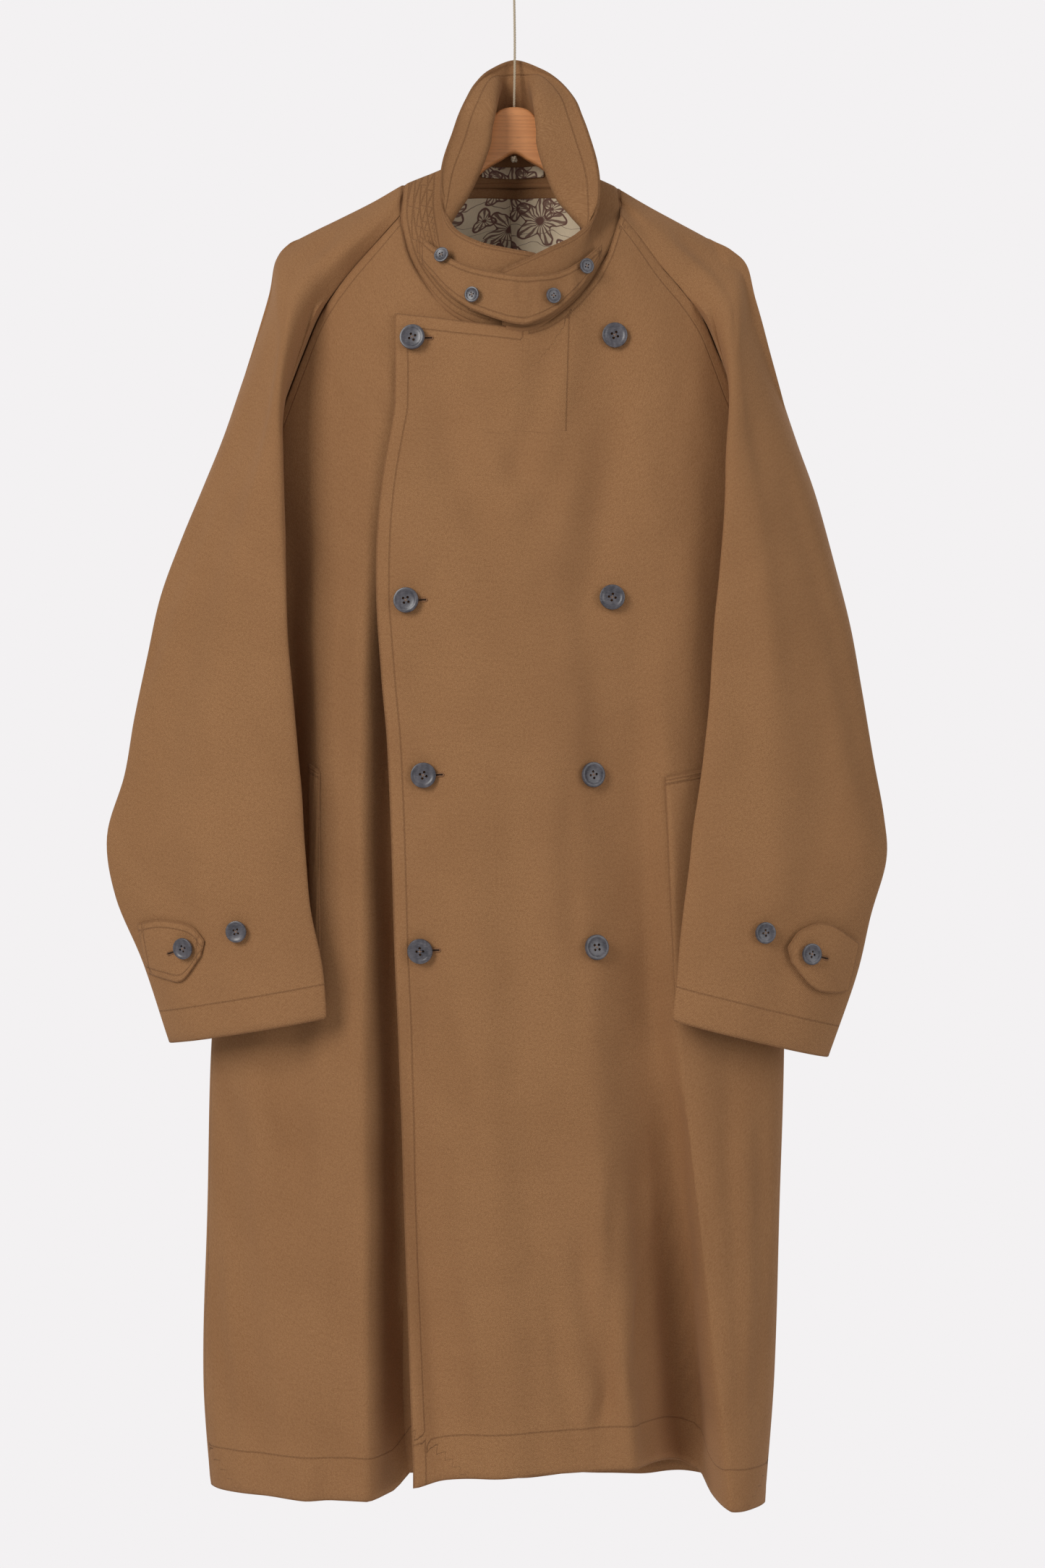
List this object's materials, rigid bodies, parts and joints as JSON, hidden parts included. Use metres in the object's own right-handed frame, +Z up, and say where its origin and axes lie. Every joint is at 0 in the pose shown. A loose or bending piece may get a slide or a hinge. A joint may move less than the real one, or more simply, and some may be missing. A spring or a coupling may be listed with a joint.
{
  "type": "wool overcoat on a wooden hanger",
  "caption": "Long double-breasted wool overcoat with raglan sleeves and a raised collar, hung on a wooden hanger by a twine loop.",
  "frame": {"origin": "top of the twine loop that the hanger hangs by", "axes": "+Z up, -Y is the coat's front, +X is the wearer's left"},
  "size_m": [0.7156, 0.1604, 1.431],
  "materials": {
    "wool": "brushed heavy wool twill with a soft nap",
    "lining": "plain woven linen with a printed floral",
    "button": "marbled grey horn look, softly polished",
    "wood": "smooth oiled hardwood",
    "twine": "twisted natural fibre"
  },
  "bodies": {
    "root": {"front_left": "wool", "front_right": "wool", "back": "wool", "sleeve_left_front": "wool", "sleeve_left_back": "wool", "sleeve_right_front": "wool", "sleeve_right_back": "wool", "collar": "wool", "throat_latch": "wool", "cuff_strap_left": "wool", "cuff_strap_right": "wool", "pocket_welt_left": "wool", "pocket_welt_right": "wool", "neck_facing": "wool", "lining_left": "lining", "lining_right": "lining", "button_row1_outer": "button", "button_row1_lap": "button", "button_row2_outer": "button", "button_row2_lap": "button", "button_row3_outer": "button", "button_row3_lap": "button", "button_row4_outer": "button", "button_row4_lap": "button", "latch_button_1": "button", "latch_button_2": "button", "latch_button_3": "button", "latch_button_4": "button", "cuff_button_right_strap": "button", "cuff_button_right_spare": "button", "cuff_button_left_strap": "button", "cuff_button_left_spare": "button", "hanger": "wood", "twine": "twine", "twine_loop": "twine", "knot_upper": "twine", "knot_lower": "twine"}
  },
  "joints": []
}
